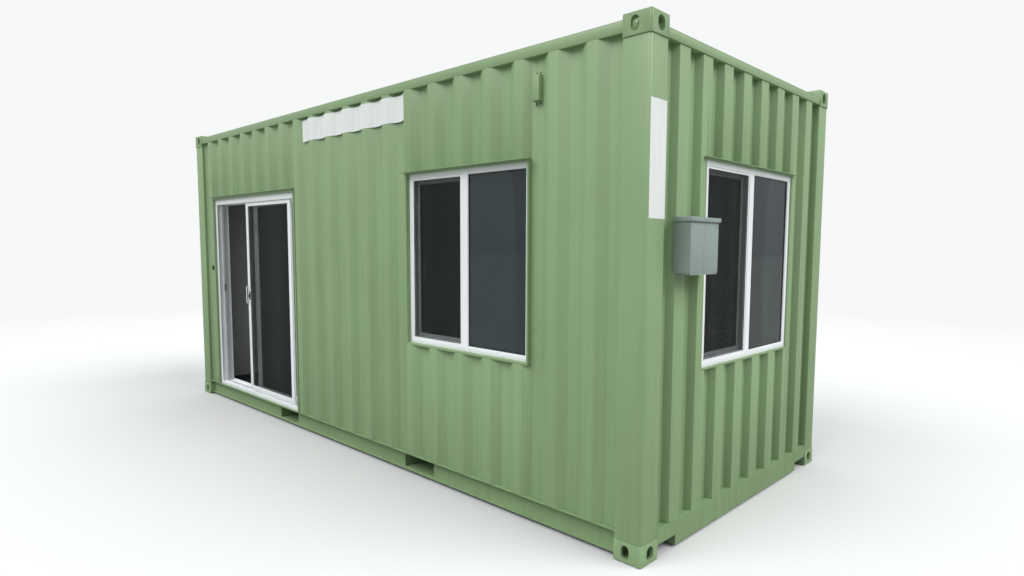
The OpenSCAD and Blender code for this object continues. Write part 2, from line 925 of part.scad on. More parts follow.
// Open at the front, with a cap that hangs over all round
module electrical_box() {
    y0 = box_y - box_w / 2;
    top = box_z + box_h;
    color(grey) {
        difference() {
            block(end_face, end_face + box_d - box_wall, y0, y0 + box_w, box_z, top);
            block(end_face + box_wall, end_face + box_d, y0 + box_wall, y0 + box_w - box_wall,
                box_z + box_wall, top - box_wall);
        }
        difference() {
            block(end_face, end_face + box_d + cap_out, y0 - cap_out, y0 + box_w + cap_out,
                top - cap_h, top + box_wall);
            block(end_face - 1, end_face + box_d + cap_out - box_wall,
                y0 - cap_out + box_wall, y0 + box_w + cap_out - box_wall, top - cap_h - 1, top);
        }
    }
}

module electrical_box_cover() {
    y0 = box_y - box_w / 2;
    x0 = end_face + box_d - box_wall;
    color(grey) block(x0, x0 + box_wall, y0, y0 + box_w, box_z, box_z + box_h - cap_h / 2);
}

// A welded hood, open below, in the first fold that clears the window
module ventilator() {
    clear_x = window_x + window_cut + vent_w / 2;
    fold_x = side_start + ceil((clear_x - side_start) / side_pitch) * side_pitch;
    plate_t = 3;
    plate_z = top_rail_z - vent_drop - vent_plate_h;
    hood_z = plate_z + (vent_plate_h - vent_h) / 2;
    y1 = -face_y + side_depth;
    color(green) {
        block(fold_x - vent_w / 2, fold_x + vent_w / 2, y1 - plate_t, y1,
            plate_z, plate_z + vent_plate_h);
        difference() {
            block(fold_x - vent_w / 2, fold_x + vent_w / 2, y1 - vent_d, y1, hood_z, hood_z + vent_h);
            block(fold_x - vent_w / 2 + plate_t, fold_x + vent_w / 2 - plate_t,
                y1 - vent_d + plate_t, y1 - plate_t, hood_z - 1, hood_z + vent_h - plate_t);
        }
    }
}

// A rubber grommet on the first outer flat, beside the door
module cable_gland() {
    gland_out = 4;
    color(black) translate([first_flat - length / 2, -face_y, gland_z]) rotate([90, 0, 0])
        cylinder(d = gland_w, h = gland_out);
}

bottom_corner_castings();
top_near_corner_castings();
top_far_corner_castings();
corner_posts();
bottom_side_rails();
top_side_rails();
bottom_end_rails();
top_end_rails();
cross_members();
fork_pockets();
plywood_floor();
roof_panel();
roof_end_plates();
front_wall();
front_wall_over_door();
front_wall_at_window();
back_wall();
near_end_wall();
near_end_wall_at_window();
far_end_wall();
front_lining();
front_lining_at_openings();
back_lining();
near_end_lining();
near_end_lining_at_window();
far_end_lining();
ceiling_lining();
ceiling_lining_ends();
door_surround();
front_window_surround();
end_window_surround();
door_frame();
fixed_door_panel();
fixed_door_glass();
sliding_door_panel();
sliding_door_glass();
screen_door_frame();
screen_door_mesh();
screen_door_handle();
front_window_frame();
front_window_sash();
front_window_glass();
front_window_screen();
end_window_frame();
end_window_sash();
end_window_glass();
end_window_screen();
electrical_box();
electrical_box_cover();
ventilator();
cable_gland();
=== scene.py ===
"""Looks of a twenty-foot shipping container fitted out as an office.

Metres, +Z up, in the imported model's own frame. The long front with the door faces -Y and the
end with a window faces +X. Each operator makes one piece or one group of like pieces.
"""

import json
import math

import bpy
from bpy.props import FloatProperty, FloatVectorProperty, IntProperty, PointerProperty
from mathutils import Matrix, Vector

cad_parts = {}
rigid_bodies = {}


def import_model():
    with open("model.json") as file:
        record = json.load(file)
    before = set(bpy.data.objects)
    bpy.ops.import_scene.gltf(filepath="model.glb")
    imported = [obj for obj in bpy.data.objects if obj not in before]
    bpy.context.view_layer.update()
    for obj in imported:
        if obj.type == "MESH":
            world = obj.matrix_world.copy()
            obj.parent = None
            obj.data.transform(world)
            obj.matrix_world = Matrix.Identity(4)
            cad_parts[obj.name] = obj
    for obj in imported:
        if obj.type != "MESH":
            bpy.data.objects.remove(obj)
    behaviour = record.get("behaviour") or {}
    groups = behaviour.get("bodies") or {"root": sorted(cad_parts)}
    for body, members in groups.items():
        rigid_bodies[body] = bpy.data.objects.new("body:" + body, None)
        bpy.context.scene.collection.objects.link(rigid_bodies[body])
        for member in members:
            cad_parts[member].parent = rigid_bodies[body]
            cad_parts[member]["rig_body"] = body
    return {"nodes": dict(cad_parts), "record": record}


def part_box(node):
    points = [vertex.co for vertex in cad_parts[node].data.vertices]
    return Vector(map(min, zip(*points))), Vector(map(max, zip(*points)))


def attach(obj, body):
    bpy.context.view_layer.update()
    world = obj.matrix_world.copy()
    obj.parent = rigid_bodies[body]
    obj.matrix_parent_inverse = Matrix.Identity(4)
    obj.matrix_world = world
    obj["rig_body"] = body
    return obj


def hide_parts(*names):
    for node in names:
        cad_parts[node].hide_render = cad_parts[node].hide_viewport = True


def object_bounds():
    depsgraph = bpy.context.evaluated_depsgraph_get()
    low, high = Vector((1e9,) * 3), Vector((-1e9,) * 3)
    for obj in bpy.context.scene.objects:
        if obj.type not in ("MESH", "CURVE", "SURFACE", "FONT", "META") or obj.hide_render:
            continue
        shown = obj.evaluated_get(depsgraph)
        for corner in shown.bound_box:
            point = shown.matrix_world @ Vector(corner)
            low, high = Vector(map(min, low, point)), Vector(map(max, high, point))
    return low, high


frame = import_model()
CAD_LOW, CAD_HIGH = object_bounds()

bl_info = {
    "name": "Container office looks",
    "version": (1, 0, 0),
    "blender": (4, 5, 0),
    "location": "3D View > Sidebar > Office",
    "description": "Finishes and fine pieces of a container office",
    "category": "Object",
}

MM = 0.001
SLOT_OF = {part["node"]: part["material_slot"] for part in frame["record"]["subparts"]}


# ---- Colours and materials ----


def linear(colour):
    """An sRGB hex colour as linear red, green and blue"""
    parts = [int(colour[i : i + 2], 16) / 255 for i in (1, 3, 5)]
    return tuple(p / 12.92 if p <= 0.04045 else ((p + 0.055) / 1.055) ** 2.4 for p in parts)


def shade(colour, factor):
    """A linear colour made lighter or darker, with full alpha"""
    return (*[min(1.0, c * factor) for c in colour[:3]], 1.0)


def per_metre(millimetres):
    """Noise scale that gives features of a size in millimetres"""
    return 1000.0 / millimetres


def bands_for(millimetres):
    """Wave texture scale that gives one band in each length in millimetres"""
    return math.tau / 20.0 / (millimetres * MM)


def add_node(material, kind, inputs=None, **settings):
    """Add a node. inputs maps a socket's name or number to a value or to another node's output."""
    tree = material.node_tree
    node = tree.nodes.new(kind)
    for name, value in settings.items():
        setattr(node, name, value)
    for key, value in (inputs or {}).items():
        if isinstance(value, bpy.types.NodeSocket):
            tree.links.new(value, node.inputs[key])
        else:
            node.inputs[key].default_value = value
    return node


def blank_material(name):
    """An empty material with its output node and its object coordinates"""
    material = bpy.data.materials.new(name)
    material.use_nodes = True
    material.node_tree.nodes.clear()
    output = add_node(material, "ShaderNodeOutputMaterial")
    place = add_node(material, "ShaderNodeTexCoord").outputs["Object"]
    return material, output, place


def noise_at(material, place, millimetres, stretch=(1, 1, 1), detail=3.0):
    """Noise of a real size, drawn out along an axis where stretch is under 1"""
    spread = add_node(material, "ShaderNodeMapping", {"Vector": place, "Scale": stretch})
    return add_node(
        material,
        "ShaderNodeTexNoise",
        {"Vector": spread.outputs[0], "Scale": per_metre(millimetres), "Detail": detail},
    ).outputs["Fac"]


def ranged(material, value, low, high, to_low=0.0, to_high=1.0):
    """A value spread from one range to another, and held at its ends"""
    return add_node(
        material,
        "ShaderNodeMapRange",
        {0: value, 1: low, 2: high, 3: to_low, 4: to_high},
    ).outputs[0]


def mixed(material, factor, first, second):
    """Two colours mixed by a factor"""
    return add_node(
        material, "ShaderNodeMix", {0: factor, 6: first, 7: second}, data_type="RGBA"
    ).outputs[2]


def times(material, first, second):
    """Two values multiplied"""
    return add_node(
        material, "ShaderNodeMath", {0: first, 1: second}, operation="MULTIPLY"
    ).outputs[0]


def surface(name, colour, finish, texture_mm, bump=0.15, patches=0.10, dirt=None, rust=0.0):
    """A solid finish: patchy colour, hanging dirt, rust specks, and a fine bump.

    finish is its lowest and highest roughness, its metallic and its coat.
    dirt is a colour, its strength, and the height up to which it lies thickest.
    """
    material, output, place = blank_material(name)
    cloud = noise_at(material, place, 700, detail=4.0)
    tint = mixed(
        material,
        ranged(material, cloud, 0.35, 0.65),
        shade(colour, 1.0 - patches),
        shade(colour, 1.0 + patches),
    )
    if dirt:
        dust, strength, reach = dirt
        runs = noise_at(material, place, 45, stretch=(1, 1, 0.05), detail=4.0)
        height = add_node(material, "ShaderNodeSeparateXYZ", {0: place}).outputs["Z"]
        low_down = ranged(material, height, 0.0, reach, 1.0, 0.35)
        amount = times(material, ranged(material, runs, 0.42, 0.75, 0.0, strength), low_down)
        tint = mixed(material, amount, tint, shade(dust, 1.0))
    if rust:
        spots = noise_at(material, place, 34, detail=6.0)
        areas = noise_at(material, place, 420, detail=2.0)
        where = times(
            material,
            ranged(material, spots, 0.69, 0.72),
            ranged(material, areas, 0.60, 0.66, 0.0, rust),
        )
        tint = mixed(material, where, tint, shade(linear("#6b4a33"), 1.0))
    fine = noise_at(material, place, texture_mm, detail=2.0)
    relief = add_node(
        material, "ShaderNodeBump", {"Strength": bump, "Distance": 1 * MM, "Height": fine}
    )
    rough_low, rough_high, metallic, coat = finish
    body = add_node(
        material,
        "ShaderNodeBsdfPrincipled",
        {
            "Base Color": tint,
            "Roughness": ranged(material, cloud, 0.3, 0.7, rough_low, rough_high),
            "Metallic": metallic,
            "Coat Weight": coat,
            "Normal": relief.outputs[0],
        },
    )
    material.node_tree.links.new(body.outputs[0], output.inputs["Surface"])
    return material


def glass(name, colour, waviness_mm):
    """Float glass: smooth, tinted, with a slow waviness from the float bath"""
    material, output, place = blank_material(name)
    wave = noise_at(material, place, waviness_mm, detail=1.0)
    relief = add_node(
        material, "ShaderNodeBump", {"Strength": 0.06, "Distance": 1 * MM, "Height": wave}
    )
    film = noise_at(material, place, 260, detail=3.0)
    body = add_node(
        material,
        "ShaderNodeBsdfPrincipled",
        {
            "Base Color": mixed(material, film, shade(colour, 0.92), shade(colour, 1.08)),
            "Roughness": 0.02,
            "IOR": 1.52,
            "Transmission Weight": 0.9,
            "Normal": relief.outputs[0],
        },
    )
    material.node_tree.links.new(body.outputs[0], output.inputs["Surface"])
    return material


def woven(name, colour, across, pitch_mm):
    """Woven screen cloth: threads both ways, with open squares between them.

    The real threads lie 1.4 mm apart, too fine to show, so the pitch is drawn coarser.
    """
    material, output, place = blank_material(name)
    thread_from = 0.90
    ways = [
        add_node(
            material,
            "ShaderNodeTexWave",
            {"Vector": place, "Scale": bands_for(pitch_mm), "Distortion": 0.0},
            wave_type="BANDS",
            bands_direction=axis,
        ).outputs["Fac"]
        for axis in (across, "Z")
    ]
    both = add_node(
        material, "ShaderNodeMath", {0: ways[0], 1: ways[1]}, operation="MAXIMUM"
    ).outputs[0]
    thread = ranged(material, both, thread_from - 0.02, thread_from + 0.02, 0.12, 1.0)
    patchy = noise_at(material, place, 180)
    body = add_node(
        material,
        "ShaderNodeBsdfPrincipled",
        {
            "Base Color": mixed(material, patchy, shade(colour, 0.8), shade(colour, 1.2)),
            "Roughness": 0.6,
            "Specular IOR Level": 0.2,
            "Alpha": thread,
        },
    )
    material.node_tree.links.new(body.outputs[0], output.inputs["Surface"])
    return material


def make_finishes(paints):
    """Every material of the office, by the name that the pieces ask for"""
    dust = linear("#b5ad9c")
    soot = linear("#4d5348")
    return {
        # Alkyd enamel sprayed on steel: satin, a little orange peel, dirt runs and rust specks
        "enamel": surface(
            "alkyd_enamel_green", paints.green, (0.36, 0.52, 0.0, 0.08), 14,
            bump=0.10, patches=0.03, dirt=(soot, 0.16, 2.2), rust=0.45,
        ),
        # The same enamel under the floor, its green drawn darker as painted shade under the floor,
        # dull with road dust
        "underframe": surface(
            "alkyd_enamel_shaded_underframe", paints.underframe, (0.55, 0.75, 0.0, 0.0), 18,
            bump=0.15, patches=0.05, dirt=(soot, 0.22, 0.5), rust=0.5,
        ),
        # Extruded white vinyl: smooth and satin, with a faint grey bloom
        "vinyl": surface(
            "extruded_white_vinyl", paints.vinyl, (0.26, 0.38, 0.0, 0.12), 30,
            bump=0.04, patches=0.02, dirt=(linear("#9a9f9f"), 0.14, 1.2),
        ),
        # Steel-faced insulated lining panel, roller coated: matt and even
        "lining": surface(
            "faced_lining_panel", paints.lining, (0.45, 0.6, 0.0, 0.0), 22,
            bump=0.05, patches=0.03,
        ),
        # Sheet flooring, calendered: dark, close grained, slightly worn
        "flooring": surface(
            "calendered_sheet_flooring", paints.flooring, (0.42, 0.62, 0.0, 0.0), 9,
            bump=0.25, patches=0.18,
        ),
        # Polyester powder coat on sheet steel: fine grained, satin grey
        "powder": surface(
            "grey_powder_coat", paints.powder, (0.42, 0.55, 0.0, 0.0), 8,
            bump=0.18, patches=0.04, dirt=(soot, 0.22, 2.5),
        ),
        # Extruded rubber: black and matt, with a chalky bloom
        "rubber": surface(
            "extruded_black_rubber", paints.rubber, (0.55, 0.72, 0.0, 0.0), 10,
            bump=0.15, patches=0.15,
        ),
        # Zinc-plated steel screws: bright, cold and slightly cloudy
        "zinc": surface(
            "zinc_plated_steel", linear("#b9bcbd"), (0.28, 0.5, 1.0, 0.0), 6,
            bump=0.1, patches=0.12,
        ),
        # Anodised aluminium spacer: even grey metal, finely grained
        "anodised": surface(
            "anodised_aluminium", linear("#a9aeb1"), (0.3, 0.42, 1.0, 0.0), 5,
            bump=0.06, patches=0.05,
        ),
        # Cast vinyl film, plain: white, with dust along its lower edge
        "film": surface(
            "plain_vinyl_film", paints.film, (0.32, 0.45, 0.0, 0.1), 40,
            bump=0.05, patches=0.03, dirt=(linear("#8f958c"), 0.25, 3.0),
        ),
        # Arc weld under paint: lumpy, its green drawn at half brightness as painted shade in the
        # joint, and darker still where dirt runs have settled
        "weld": surface(
            # half the enamel's green: painted shade in the joint between post and casting
            "arc_weld_with_painted_shade", tuple(0.5 * c for c in paints.green), (0.45, 0.65, 0.0, 0.0), 7,
            bump=0.6, patches=0.25, dirt=(soot, 0.6, 4.0), rust=1.0,
        ),
        "glass": glass("tinted_float_glass", paints.glass, 420),
        "mesh_x": woven("woven_screen_cloth_front", paints.mesh, "X", 9.0),
        "mesh_y": woven("woven_screen_cloth_end", paints.mesh, "Y", 9.0),
    }


SLOT_FINISH = {
    "painted_steel": "enamel",
    "underframe_steel": "underframe",
    "white_vinyl": "vinyl",
    "lining_board": "lining",
    "window_glass": "glass",
    "insect_mesh": "mesh_x",
    "grey_steel": "powder",
    "black_plastic": "rubber",
    "floor_board": "flooring",
}
FINISHES = {}


# ---- Modelling ----


def choose(obj):
    """Select one object and nothing else"""
    if bpy.context.mode != "OBJECT":
        bpy.ops.object.mode_set(mode="OBJECT")
    bpy.ops.object.select_all(action="DESELECT")
    obj.select_set(True)
    bpy.context.view_layer.objects.active = obj


def edit_faces(obj, test):
    """Open an object for editing with the faces selected whose centre and normal pass a test"""
    choose(obj)
    bpy.ops.object.mode_set(mode="EDIT")
    bpy.ops.mesh.select_mode(type="FACE")
    bpy.ops.mesh.select_all(action="DESELECT")
    bpy.ops.object.mode_set(mode="OBJECT")
    for face in obj.data.polygons:
        face.select = test(face.center, face.normal)
    bpy.ops.object.mode_set(mode="EDIT")


def edit_all(obj):
    """Open an object for editing with all of it selected"""
    choose(obj)
    bpy.ops.object.mode_set(mode="EDIT")
    bpy.ops.mesh.select_mode(type="VERT")
    bpy.ops.mesh.select_all(action="SELECT")


def done():
    """Leave edit mode"""
    bpy.ops.object.mode_set(mode="OBJECT")


def settle():
    """Apply the active object's place, turn and scale, so that it sits at the origin"""
    bpy.ops.object.transform_apply(location=True, rotation=True, scale=True)


def start_block(low, high):
    """A block between two corners, to be shaped further"""
    if bpy.context.mode != "OBJECT":
        done()
    bpy.ops.object.select_all(action="DESELECT")
    middle = [(a + b) / 2 for a, b in zip(low, high)]
    bpy.ops.mesh.primitive_cube_add(size=1, location=middle)
    obj = bpy.context.object
    obj.scale = [b - a for a, b in zip(low, high)]
    settle()
    return obj


def start_round(middle, radius, depth, axis, sides=20):
    """A disc or rod along an axis, to be shaped further"""
    if bpy.context.mode != "OBJECT":
        done()
    bpy.ops.object.select_all(action="DESELECT")
    turn = {"X": (0, math.pi / 2, 0), "Y": (math.pi / 2, 0, 0), "Z": (0, 0, 0)}[axis]
    bpy.ops.mesh.primitive_cylinder_add(
        vertices=sides, radius=radius, depth=depth, location=middle, rotation=turn
    )
    settle()
    return bpy.context.object


def apply_bevel(obj, width, segments, method="ANGLE"):
    """Round an object's sharp or weighted edges"""
    choose(obj)
    bevel = obj.modifiers.new("round", "BEVEL")
    bevel.width = width
    bevel.segments = segments
    bevel.limit_method = method
    bevel.angle_limit = math.radians(30)
    bpy.ops.object.modifier_apply(modifier=bevel.name)


def smooth(obj, degrees=40):
    """Smooth shading with edges sharper than an angle kept"""
    choose(obj)
    bpy.ops.object.shade_smooth_by_angle(angle=math.radians(degrees))


def panelled(low, high, side, border, sink, rounding):
    """A block with one face inset and pushed in, and its edges rounded"""
    obj = start_block(low, high)
    way = Vector(side)
    edit_faces(obj, lambda centre, normal: normal.dot(way) > 0.9)
    bpy.ops.mesh.inset(thickness=border, depth=0)
    bpy.ops.transform.translate(value=[-sink * c for c in side])
    done()
    apply_bevel(obj, rounding, 2)
    return obj


def hollow_ring(low, high, face, rounding):
    """A flat rectangular ring, thick along Y, with rounded edges"""
    obj = start_block(low, high)
    edit_faces(obj, lambda centre, normal: abs(normal.y) > 0.9)
    bpy.ops.mesh.inset(thickness=face, depth=0, use_individual=True)
    bpy.ops.mesh.delete(type="FACE")
    bpy.ops.mesh.select_mode(type="EDGE")
    bpy.ops.mesh.select_all(action="DESELECT")
    bpy.ops.mesh.select_non_manifold()
    bpy.ops.mesh.bridge_edge_loops()
    bpy.ops.mesh.select_all(action="SELECT")
    bpy.ops.mesh.normals_make_consistent(inside=False)
    done()
    apply_bevel(obj, rounding, 2)
    return obj


def joined(pieces):
    """Several objects as one"""
    if bpy.context.mode != "OBJECT":
        done()
    bpy.ops.object.select_all(action="DESELECT")
    for piece in pieces:
        piece.select_set(True)
    bpy.context.view_layer.objects.active = pieces[0]
    if len(pieces) > 1:
        bpy.ops.object.join()
    return pieces[0]


def copied(obj, place=None):
    """A copy with a mesh of its own, moved by a matrix"""
    copy = bpy.data.objects.new(obj.name + "_copy", obj.data.copy())
    bpy.context.scene.collection.objects.link(copy)
    if place is not None:
        copy.data.transform(place)
        if place.determinant() < 0:
            copy.data.flip_normals()
    return copy


def finish_piece(obj, name, finish, body="container", replaced=()):
    """Name a piece, give it its finish, and let it ride on its body"""
    smooth(obj)
    obj.name = name
    obj.data.name = name
    obj.data.materials.clear()
    obj.data.materials.append(FINISHES[finish])
    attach(obj, body)
    if replaced:
        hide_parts(*replaced)
    return obj


def rounded_copy(node, width, segments=2, fits=None, finish=None):
    """A CAD node's copy with rounded edges, shown in the node's place.

    fits takes an edge's two ends and says whether it is rounded.
    """
    source = frame["nodes"][node]
    obj = bpy.data.objects.new(node + "_rounded", source.data.copy())
    bpy.context.scene.collection.objects.link(obj)
    choose(obj)
    bpy.ops.mesh.customdata_custom_splitnormals_clear()
    edit_all(obj)
    bpy.ops.mesh.remove_doubles(threshold=0.02 * MM)
    bpy.ops.mesh.dissolve_limited(angle_limit=math.radians(0.5))
    bpy.ops.mesh.select_mode(type="EDGE")
    bpy.ops.mesh.select_all(action="DESELECT")
    bpy.ops.mesh.edges_select_sharp(sharpness=math.radians(15))
    done()
    if fits:
        points = obj.data.vertices
        for edge in obj.data.edges:
            if edge.select:
                ends = [points[i].co for i in edge.vertices]
                edge.select = fits(*ends)
    bpy.ops.object.mode_set(mode="EDIT")
    bpy.ops.mesh.select_mode(type="EDGE")
    bpy.ops.transform.edge_bevelweight(value=1.0)
    done()
    apply_bevel(obj, width, segments, "WEIGHT")
    finish_piece(
        obj,
        node + "_rounded",
        finish or SLOT_FINISH[SLOT_OF[node]],
        source["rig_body"],
        [node],
    )
    return obj


def upright(a, b):
    """True for an edge that runs along Z"""
    return abs(a.x - b.x) < MM and abs(a.y - b.y) < MM and abs(a.z - b.z) > 20 * MM


def longer_than(length):
    """A test for edges of at least a length"""
    return lambda a, b: (a - b).length > length


# ---- Settings ----


class OfficePaints(bpy.types.PropertyGroup):
    """Colours of the finishes"""

    green: FloatVectorProperty(
        name="Green enamel", description="Enamel of the steelwork", subtype="COLOR",
        default=linear("#849f75"), min=0, max=1,
    )
    # darker than the green enamel: painted shade under the floor
    underframe: FloatVectorProperty(
        name="Underframe", description="Enamel under the floor", subtype="COLOR",
        default=linear("#789269"), min=0, max=1,
    )
    vinyl: FloatVectorProperty(
        name="White vinyl", description="Door and window frames", subtype="COLOR",
        default=linear("#e9ecef"), min=0, max=1,
    )
    lining: FloatVectorProperty(
        name="Lining", description="Inner walls and ceiling", subtype="COLOR",
        default=linear("#d6d8d8"), min=0, max=1,
    )
    flooring: FloatVectorProperty(
        name="Flooring", description="Covering of the floor", subtype="COLOR",
        default=linear("#26282a"), min=0, max=1,
    )
    powder: FloatVectorProperty(
        name="Powder coat", description="Electrical box", subtype="COLOR",
        default=linear("#8c9a97"), min=0, max=1,
    )
    rubber: FloatVectorProperty(
        name="Rubber", description="Seals and grommet", subtype="COLOR",
        default=linear("#131414"), min=0, max=1,
    )
    film: FloatVectorProperty(
        name="Plain film", description="Plain banner and plate film", subtype="COLOR",
        default=linear("#e4e7e6"), min=0, max=1,
    )
    glass: FloatVectorProperty(
        name="Glass tint", description="Tint of the double glazing", subtype="COLOR",
        default=linear("#74858a"), min=0, max=1,
    )
    mesh: FloatVectorProperty(
        name="Screen cloth", description="Threads of the insect screens", subtype="COLOR",
        default=linear("#1a1d1b"), min=0, max=1,
    )


class OfficeSizes(bpy.types.PropertyGroup):
    """Sizes of the fine pieces"""

    side_fold: FloatProperty(
        name="Side fold", description="Rounding of the side walls' folds", subtype="DISTANCE",
        unit="LENGTH", default=8 * MM, min=1 * MM, max=12 * MM,
    )
    end_fold: FloatProperty(
        name="End fold", description="Rounding of the end walls' folds", subtype="DISTANCE",
        unit="LENGTH", default=4 * MM, min=1 * MM, max=5 * MM,
    )
    steel_edge: FloatProperty(
        name="Steel edge", description="Rounding of posts and rails", subtype="DISTANCE",
        unit="LENGTH", default=3 * MM, min=0.5 * MM, max=6 * MM,
    )
    vinyl_edge: FloatProperty(
        name="Vinyl edge", description="Rounding of vinyl profiles", subtype="DISTANCE",
        unit="LENGTH", default=2 * MM, min=0.5 * MM, max=4 * MM,
    )
    weld: FloatProperty(
        name="Weld", description="Radius of the weld beads", subtype="DISTANCE",
        unit="LENGTH", default=4 * MM, min=2 * MM, max=8 * MM,
    )
    bead: FloatProperty(
        name="Glazing bead", description="Width of the glazing beads", subtype="DISTANCE",
        unit="LENGTH", default=5 * MM, min=3 * MM, max=20 * MM,
    )
    pane: FloatProperty(
        name="Pane", description="Thickness of one pane", subtype="DISTANCE",
        unit="LENGTH", default=4 * MM, min=3 * MM, max=6 * MM,
    )
    screw: FloatProperty(
        name="Screw head", description="Radius of the screw heads", subtype="DISTANCE",
        unit="LENGTH", default=5 * MM, min=2 * MM, max=10 * MM,
    )


class OfficeStage(bpy.types.PropertyGroup):
    """Light and floor"""

    sky: FloatProperty(
        name="Sky", description="Strength of the light from all round", default=0.72, min=0, max=2
    )
    end_lamp: FloatProperty(
        name="End lamp", description="Strength of the soft lamp on the window end",
        default=2.3, min=0, max=10,
    )
    front_lamp: FloatProperty(
        name="Front lamp", description="Strength of the soft lamp on the door side",
        default=2.0, min=0, max=10,
    )
    lamp_size: FloatProperty(
        name="Lamp size", description="Angle that the lamp fills", subtype="ANGLE",
        default=math.radians(40), min=0, max=math.pi,
    )
    paper: FloatVectorProperty(
        name="Backdrop", description="Floor and backdrop", subtype="COLOR",
        default=linear("#f7f8f8"), min=0, max=1,
    )


# ---- Pieces ----


class OBJECT_OT_office_finishes(bpy.types.Operator):
    """Make the materials and give each CAD node its own"""

    bl_idname = "object.office_finishes"
    bl_label = "Finishes"

    def execute(self, context):
        FINISHES.update(make_finishes(context.scene.office_paints))
        for name, obj in frame["nodes"].items():
            finish = SLOT_FINISH[SLOT_OF[name]]
            if finish == "mesh_x" and name.startswith("end_"):
                finish = "mesh_y"
            obj.data.materials.clear()
            obj.data.materials.append(FINISHES[finish])
        return {"FINISHED"}


class OBJECT_OT_office_sheets(bpy.types.Operator):
    """Corrugated walls and roof with rounded folds"""

    bl_idname = "object.office_sheets"
    bl_label = "Corrugated sheets"

    def execute(self, context):
        sizes = context.scene.office_sizes
        for node in ("front_wall", "front_wall_over_door", "front_wall_at_window", "back_wall"):
            rounded_copy(node, sizes.side_fold, 3, upright)
        for node in ("near_end_wall", "near_end_wall_at_window", "far_end_wall"):
            rounded_copy(node, sizes.end_fold, 3, upright)
        return {"FINISHED"}


class OBJECT_OT_office_steelwork(bpy.types.Operator):
    """Castings, posts and rails with rounded edges"""

    bl_idname = "object.office_steelwork"
    bl_label = "Steelwork"

    def execute(self, context):
        edge = context.scene.office_sizes.steel_edge
        for node in (
            "bottom_corner_castings", "top_near_corner_castings", "top_far_corner_castings"
        ):
            rounded_copy(node, edge, 2, longer_than(8 * MM))
        for node in ("corner_posts", "top_side_rails", "top_end_rails", "bottom_side_rails"):
            rounded_copy(node, edge * 0.6, 2, longer_than(30 * MM))
        for node in ("door_surround", "front_window_surround", "end_window_surround"):
            rounded_copy(node, edge * 0.4, 2, longer_than(30 * MM))
        return {"FINISHED"}


class OBJECT_OT_office_welds(bpy.types.Operator):
    """Weld beads where the posts meet the castings"""

    bl_idname = "object.office_welds"
    bl_label = "Weld beads"

    def execute(self, context):
        radius = context.scene.office_sizes.weld
        low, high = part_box("bottom_corner_castings")
        bead_length = 150 * MM
        bead = start_round((0, 0, 0), radius, bead_length, "X", 8)
        edit_faces(bead, lambda centre, normal: True)
        bpy.ops.mesh.select_all(action="SELECT")
        bpy.ops.mesh.subdivide(number_cuts=1)
        done()
        for i in range(1, 24):
            edit_all(bead)
            bpy.ops.mesh.bisect(
                plane_co=(-bead_length / 2 + i * bead_length / 24, 0, 0), plane_no=(1, 0, 0)
            )
            done()
        lumps = bpy.data.textures.new("weld_lumps", "CLOUDS")
        lumps.noise_scale = 9 * MM
        choose(bead)
        swell = bead.modifiers.new("lumps", "DISPLACE")
        swell.texture = lumps
        swell.strength = 2.4 * MM
        bpy.ops.object.modifier_apply(modifier=swell.name)
        beads = []
        post_low, post_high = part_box("corner_posts")
        inset = 90 * MM
        levels = (high.z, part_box("top_far_corner_castings")[0].z)
        for level in levels:
            for sx in (-1, 1):
                for sy in (-1, 1):
                    along_x = Matrix.Translation(
                        (sx * (high.x - inset), sy * (post_high.y - radius / 2), level)
                    )
                    along_y = Matrix.Translation(
                        (sx * (post_high.x - radius / 2), sy * (high.y - inset), level)
                    ) @ Matrix.Rotation(math.pi / 2, 4, "Z")
                    beads += [copied(bead, along_x), copied(bead, along_y)]
        bpy.data.objects.remove(bead)
        # the weld finish draws these beads at half the enamel's brightness, as painted shade in the
        # joint
        finish_piece(joined(beads), "post_weld_beads", "weld")
        return {"FINISHED"}


def window_sites():
    """Each window's name, its width and heights, the matrix that places it, and its screen cloth"""
    low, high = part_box("front_window_frame")
    front = Matrix.Translation(((low.x + high.x) / 2, low.y, 0))
    yield "front_window", high.x - low.x, low.z, high.z, front, "mesh_x"
    low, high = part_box("end_window_frame")
    end = Matrix.Translation((high.x, (low.y + high.y) / 2, 0)) @ Matrix.Rotation(
        math.pi / 2, 4, "Z"
    )
    yield "end_window", high.y - low.y, low.z, high.z, end, "mesh_y"


def double_pane(left, right, low, high, face, pane, depth):
    """Two panes with their rounded arrises and a spacer round their edge"""
    panes = [
        panelled((left, y, low), (right, y + pane, high), (0, -1, 0), 6 * MM, 0, 0.8 * MM)
        for y in (face, face + depth - pane)
    ]
    spacer = hollow_ring(
        (left + 2 * MM, face + pane, low + 2 * MM),
        (right - 2 * MM, face + depth - pane, high - 2 * MM),
        16 * MM,
        0.8 * MM,
    )
    return joined(panes), spacer


